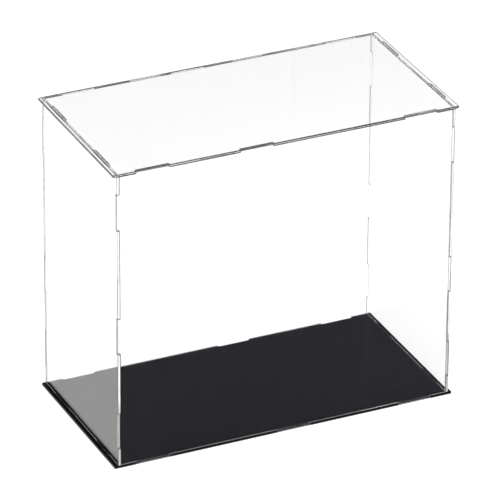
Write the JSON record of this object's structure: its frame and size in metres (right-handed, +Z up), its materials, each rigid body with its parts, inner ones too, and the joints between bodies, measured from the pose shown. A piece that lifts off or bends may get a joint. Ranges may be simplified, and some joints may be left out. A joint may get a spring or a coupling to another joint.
{
  "type": "display case",
  "caption": "Rectangular clear acrylic display case with a glossy black base; flat panels key together by edge tabs, and the cover and the top lift off.",
  "frame": {"origin": "under the middle of the base, on the surface that the case stands on", "axes": "+X along the width to the viewer's right, +Y from the front to the back, +Z up"},
  "size_m": [0.4, 0.2, 0.35],
  "materials": {
    "black_acrylic": "gloss",
    "clear_acrylic": "clear gloss"
  },
  "bodies": {
    "base": {"base_plate": "black_acrylic"},
    "walls": {"front_wall": "clear_acrylic", "back_wall": "clear_acrylic", "left_wall": "clear_acrylic", "right_wall": "clear_acrylic"},
    "top": {"top_panel": "clear_acrylic"}
  },
  "joints": [
    {"name": "cover_lift", "type": "slide", "parent": "base", "child": "walls", "axis": [0, 0, 1], "range_m": [0, 0.36]},
    {"name": "top_lift", "type": "slide", "parent": "walls", "child": "top", "axis": [0, 0, 1], "range_m": [0, 0.1]}
  ]
}
